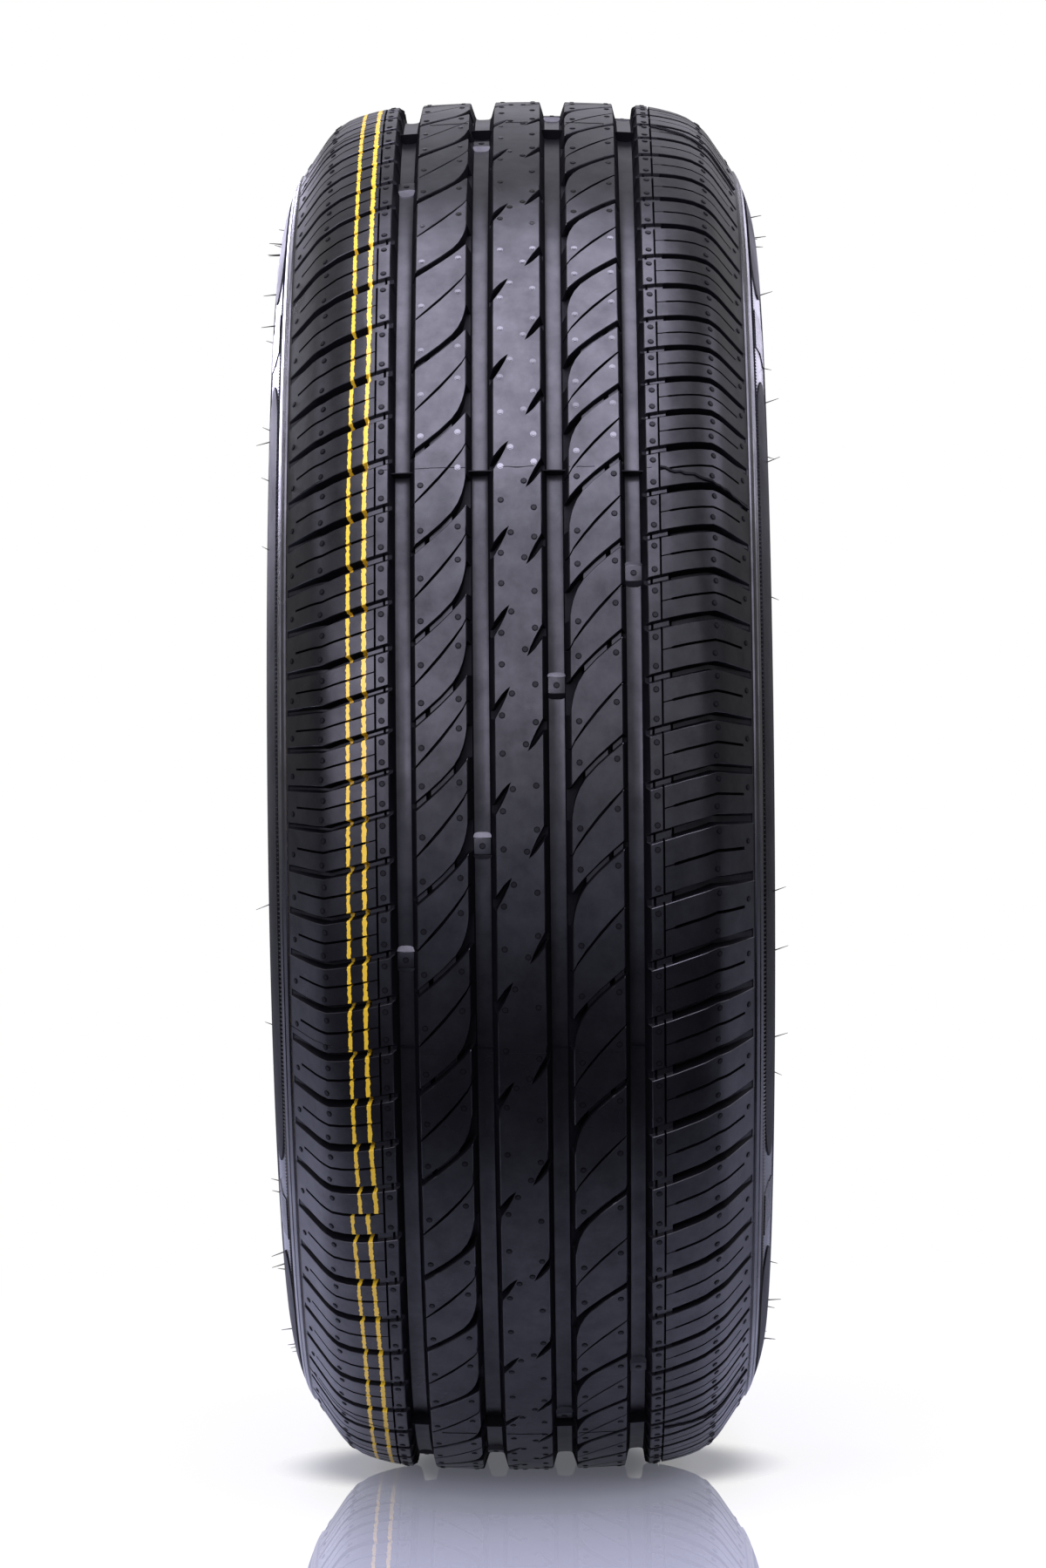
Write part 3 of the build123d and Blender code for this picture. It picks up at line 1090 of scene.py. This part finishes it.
def add_node(tree, kind, inputs=None, **settings):
    """Adds a shader node with its settings, and fills or links its inputs by name or number."""
    node = tree.nodes.new("ShaderNode" + kind)
    for name, value in settings.items():
        setattr(node, name, value)
    for name, value in (inputs or {}).items():
        if isinstance(value, bpy.types.NodeSocket):
            tree.links.new(value, node.inputs[name])
        else:
            node.inputs[name].default_value = value
    return node


def add_math(tree, operation, *values):
    """Adds a Math node and returns its result."""
    return add_node(tree, "Math", dict(enumerate(values)), operation=operation).outputs[0]


def add_mix(tree, share, first, second, kind="RGBA"):
    """Adds a mix of two colours, or of two values with the kind FLOAT, and returns it."""
    inputs = {"Factor": share, "A": first, "B": second}
    return add_node(tree, "Mix", inputs, data_type=kind).outputs["Result"]


def add_noise(tree, place, width, detail, roughness=0.5):
    """Adds cloudy noise, with clouds of a width in millimetres, and returns its value."""
    inputs = {"Vector": place, "Scale": 1 / (width * MM), "Detail": detail, "Roughness": roughness}
    return add_node(tree, "TexNoise", inputs).outputs["Fac"]


def new_material(name):
    """A new material with nodes, and its node tree."""
    material = bpy.data.materials.new(name)
    material.use_nodes = True
    return material, material.node_tree


# %% Colour of the rubber and the paint
rubber_colour, paint_colour = linear("0b0b0d"), linear("dcb630")
# Middle across and half width of each line
paint_lines = ((-71.0, 0.78), (-64.0, 0.9))
paint_ragged, ragged_width = 1.6, 1.8

# Moulded rubber: near black with a soft sheen that the studio's lamps show up in
rubber, tree = new_material("tyre_rubber_moulded")
shader = tree.nodes["Principled BSDF"]
coordinates = add_node(tree, "TexCoord").outputs["Object"]
paint_across = add_node(tree, "Attribute", attribute_name="paint").outputs["Fac"]
ragged = add_noise(tree, coordinates, ragged_width, 2)
shifted = add_math(tree, "MULTIPLY_ADD", ragged, paint_ragged, paint_across)
masks = [add_math(tree, "COMPARE", shifted, middle + paint_ragged / 2, half) for middle, half in paint_lines]
painted = add_math(tree, "MAXIMUM", *masks)
tree.links.new(add_mix(tree, painted, rubber_colour, paint_colour), shader.inputs["Base Color"])
print("paint lines", len(masks))

# %% Gloss of the rubber
cloud_width, blotch_width, wave_width = 40, 14, 22
blotch_grain = 0.68
least_rough, cloud_rough, segment_rough, dull_rough = 0.17, 0.26, 0.05, 0.22
least_sheen, blotch_sheen, dull_loss = 0.15, 0.7, 0.84
wave_height = 0.25

dull = add_node(tree, "Attribute", attribute_name="dull").outputs["Fac"]
clouds = add_noise(tree, coordinates, cloud_width, 4)
place = add_node(tree, "SeparateXYZ", {0: coordinates})
turn_up = add_math(tree, "ARCTAN2", place.outputs["Z"], place.outputs["X"])
segment_turn = tau / segments
from_seam = add_math(tree, "MULTIPLY_ADD", turn_up, 1 / segment_turn, -radians(front_seam) / segment_turn)
segment = add_math(tree, "FLOOR", from_seam)
chance = add_node(tree, "TexWhiteNoise", {"W": segment}, noise_dimensions="1D").outputs["Value"]
roughness = add_math(tree, "MULTIPLY_ADD", clouds, cloud_rough, least_rough)
for cause, amount in ((chance, segment_rough), (dull, dull_rough)):
    roughness = add_math(tree, "MULTIPLY_ADD", cause, amount, roughness)
tree.links.new(roughness, shader.inputs["Roughness"])
blotches = add_noise(tree, coordinates, blotch_width, 5, blotch_grain)
sheen = add_math(tree, "MULTIPLY_ADD", blotches, blotch_sheen, least_sheen)
gloss = add_math(tree, "MULTIPLY_ADD", dull, -dull_loss, 1.0)
tree.links.new(add_math(tree, "MULTIPLY", sheen, gloss), shader.inputs["Specular IOR Level"])
waves = add_noise(tree, coordinates, wave_width, 3)
bump = add_node(tree, "Bump", {"Height": waves, "Strength": 1.0, "Distance": wave_height * MM})
tree.links.new(bump.outputs["Normal"], shader.inputs["Normal"])

tread_marks = [wear_bars, vent_marks, shiny_vents, seams, tears, seam_flash]
rubber_pieces = [tyre, *tread_marks, side_panels, chevrons, side_teeth, *vent_hairs]
for piece in rubber_pieces:
    piece.data.materials.clear()
    piece.data.materials.append(rubber)
print("pieces", len(rubber_pieces))

# %% [markdown]
# ## The floor
# The tyre stands on a white gloss sheet, which mirrors it, a little bluish because the sheet's top glows.
# Round the foot the sheet is matt, so that a soft shadow falls there, and the mirror's colour is painted
# black there, as painted shade. Rays that don't come from the camera see another floor: grey, darker at the
# sides, with a dark stretch in front of the tyre. That makes the dark belt in the lower half of the tread,
# which one floor for both could give only in a larger room.

# %% The floor that the camera sees
floor_size, floor_height = 12, -tread_radius * MM
mirror_share = (0.66, 0.65, 0.59, 1)
sheet_share = (0.34, 0.35, 0.41, 1)
black = (0, 0, 0, 1)
# Start, end, level and squeeze of each shade round the foot. The first table is painted shade that
# blackens the mirror; the second makes the sheet matt.
painted_foot_shades = ((0.09, 0.2, 0.95, 2.0), (0.085, 0.125, 0.75, 1.0))
matt_shades = ((0.25, 1.1, 0.55, 1.0), (0.05, 0.3, 0.76, 1.3))

floor = new_model(bpy.ops.mesh.primitive_plane_add, size=floor_size, location=(0, 0, floor_height))
floor.name = "floor"
# Gloss acrylic: a bright mirror that goes soft near the tyre's foot, where painted shade darkens it
acrylic, tree = new_material("floor_acrylic_gloss")
floor.data.materials.append(acrylic)
place = add_node(tree, "TexCoord").outputs["Object"]


def add_range(tree, value, start, end, first, last, kind="SMOOTHSTEP"):
    """Adds a value that runs from first to last while another runs from start to end, and returns it."""
    inputs = {"Value": value, 1: start, 2: end, 3: first, 4: last}
    return add_node(tree, "MapRange", inputs, interpolation_type=kind).outputs["Result"]


def fades(start, end, level, squeeze=1.0):
    """A value that falls from a level to nothing between two distances from the tyre's foot, in metres."""
    squeezed = add_node(tree, "VectorMath", {0: place, 1: (1, squeeze, 1)}, operation="MULTIPLY")
    inputs = {0: squeezed.outputs["Vector"]}
    distance = add_node(tree, "VectorMath", inputs, operation="LENGTH").outputs["Value"]
    return add_range(tree, distance, start, end, level, 0.0)


foot = add_math(tree, "MAXIMUM", *[fades(*shade) for shade in painted_foot_shades])
near = add_math(tree, "MAXIMUM", *[fades(*shade) for shade in matt_shades])
glow = add_node(tree, "Emission", {"Color": sheet_share, "Strength": 1.0}).outputs[0]
matt = add_node(tree, "BsdfDiffuse", {"Color": sheet_share}).outputs[0]
# Painted shade: the mirror's colour goes black near the foot
reflected = add_mix(tree, foot, mirror_share, black)
mirror = add_node(tree, "BsdfGlossy", {"Color": reflected, "Roughness": 0.0}).outputs[0]
sheet = add_node(tree, "MixShader", {0: near, 1: glow, 2: matt}).outputs[0]
seen = add_node(tree, "AddShader", {0: sheet, 1: mirror}).outputs[0]
print("floor at", floor_height)

# %% The floor that lights the tyre
tone_reach = 2.0
# Share of the reach in front of the tyre, and how light the floor is there
floor_tones = ((0.0, 0.7), (0.1, 0.7), (0.19, 0.05), (0.3, 0.02), (0.6, 0.4), (1.0, 0.6))
floor_tint = (0.96, 1.0, 1.13)
# Start and end to the left and to the right, and how light the floor is past the end
side_shades = ((-0.35, -0.6, 0.55), (0.12, 0.3, 0.52))
# Round the foot the floor also glows a little, as painted light on the lowest ribs of the tread
under_glow = (0.04, 0.14, 0.25)

axes = add_node(tree, "SeparateXYZ", {0: place})
forward = add_range(tree, axes.outputs["X"], 0.0, tone_reach, 0.0, 1.0, "LINEAR")
ramp = add_node(tree, "ValToRGB", {0: forward})
for share, _ in floor_tones[1:-1]:
    ramp.color_ramp.elements.new(share)
for element, (_, level) in zip(ramp.color_ramp.elements, floor_tones):
    element.color = (*[part * level for part in floor_tint], 1)
shades = [add_range(tree, axes.outputs["Y"], start, end, 1.0, level) for start, end, level in side_shades]
shade = {0: ramp.outputs["Color"], "Scale": add_math(tree, "MULTIPLY", *shades)}
shaded = add_node(tree, "VectorMath", shade, operation="SCALE").outputs["Vector"]
lit = add_node(tree, "BsdfDiffuse", {"Color": shaded}).outputs[0]
under = add_node(tree, "Emission", {"Color": sheet_share, "Strength": fades(*under_glow)}).outputs[0]
ground = add_node(tree, "AddShader", {0: lit, 1: under}).outputs[0]
from_camera = add_node(tree, "LightPath").outputs["Is Camera Ray"]
either = add_node(tree, "MixShader", {0: from_camera, 1: ground, 2: seen}).outputs[0]
tree.links.new(either, tree.nodes["Material Output"].inputs["Surface"])
print("floor tones", len(floor_tones))

# %% [markdown]
# ## Lamps
# Large soft boxes light the tyre: one overhead, three in front from high to low, one at each front corner
# that fills the groove walls, one at each side, a weak one behind, and two that make the bright rims of
# the sidewalls. Each was set by comparing the tone of photograph and picture in strips. A studio picture
# wrapped round the scene could light it too, but lamps can be moved one by one.

# %% Lamps
light_tint = linear("e6e2ff")[:3]
# Name, place and size in metres, and brightness where white is 1
lamps = (
    ("overhead", (0.5, 0, 1.55), (1.1, 1.5), 6.6),
    ("front_high", (1.91, -0.1, 1.98), (2.2, 1.27), 3.2),
    ("front", (2.54, -0.49, 0.94), (1.9, 1.27), 3.1),
    ("front_low", (3.1, -0.15, 0.0), (1.9, 0.85), 0.6),
    ("left_fill", (2.33, -1.82, 0.47), (2.6, 1.2), 3.4),
    ("right_fill", (2.55, 1.59, 1.09), (2.0, 2.8), 0.8),
    ("back", (-1.7, 0.0, 1.5), (2.4, 1.4), 0.4),
    ("left_side", (0.0, -1.7, 1.1), (1.2, 0.8), 1.2),
    ("left_rim", (-1.8, -0.95, 0.52), (1.0, 0.3), 15.0),
    ("right_side", (0.0, 1.7, 1.1), (1.2, 0.8), 2.3),
    ("right_rim", (-1.8, 0.95, 0.52), (1.0, 0.3), 3.0),
)
for name, place, size, brightness in lamps:
    lamp = new_object(name, bpy.data.lights.new(name, "AREA"))
    lamp.data.shape = "RECTANGLE"
    lamp.data.size, lamp.data.size_y = size
    lamp.data.energy = pi * size[0] * size[1] * brightness
    lamp.data.color = light_tint
    lamp.location = place
    lamp.rotation_euler = (-Vector(place)).to_track_quat("-Z", "Y").to_euler()
    lamp.visible_camera = False
print("lamps", len(lamps))

# %% [markdown]
# ## Background
# The photograph's background is plain white, and the floor mirrors it white. The tyre must see a much
# darker room, darkest at its two sides, or its black rubber would look grey.

# %% Background
room_level, room_side_level = 0.36, 0.16
side_start, side_end = 0.7, 0.95
world = bpy.data.worlds.new("studio")
world.use_nodes = True
bpy.context.scene.world = world
tree = world.node_tree
background = tree.nodes["Background"]
rays = add_node(tree, "LightPath").outputs
white = add_math(tree, "MAXIMUM", rays["Is Camera Ray"], rays["Is Singular Ray"])
way = add_node(tree, "SeparateXYZ", {0: add_node(tree, "TexCoord").outputs["Generated"]})
aside = add_math(tree, "ABSOLUTE", way.outputs["Y"])
room = add_range(tree, aside, side_start, side_end, room_level, room_side_level, "LINEAR")
tree.links.new(add_mix(tree, white, room, 1.0, "FLOAT"), background.inputs["Strength"])
background.inputs["Color"].default_value = linear("ffffff")
bpy.context.scene.view_settings.view_transform = "Standard"
print("room", room_level, "at the sides", room_side_level)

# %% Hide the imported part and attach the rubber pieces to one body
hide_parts("tyre")
for piece in rubber_pieces:
    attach(piece, "root")
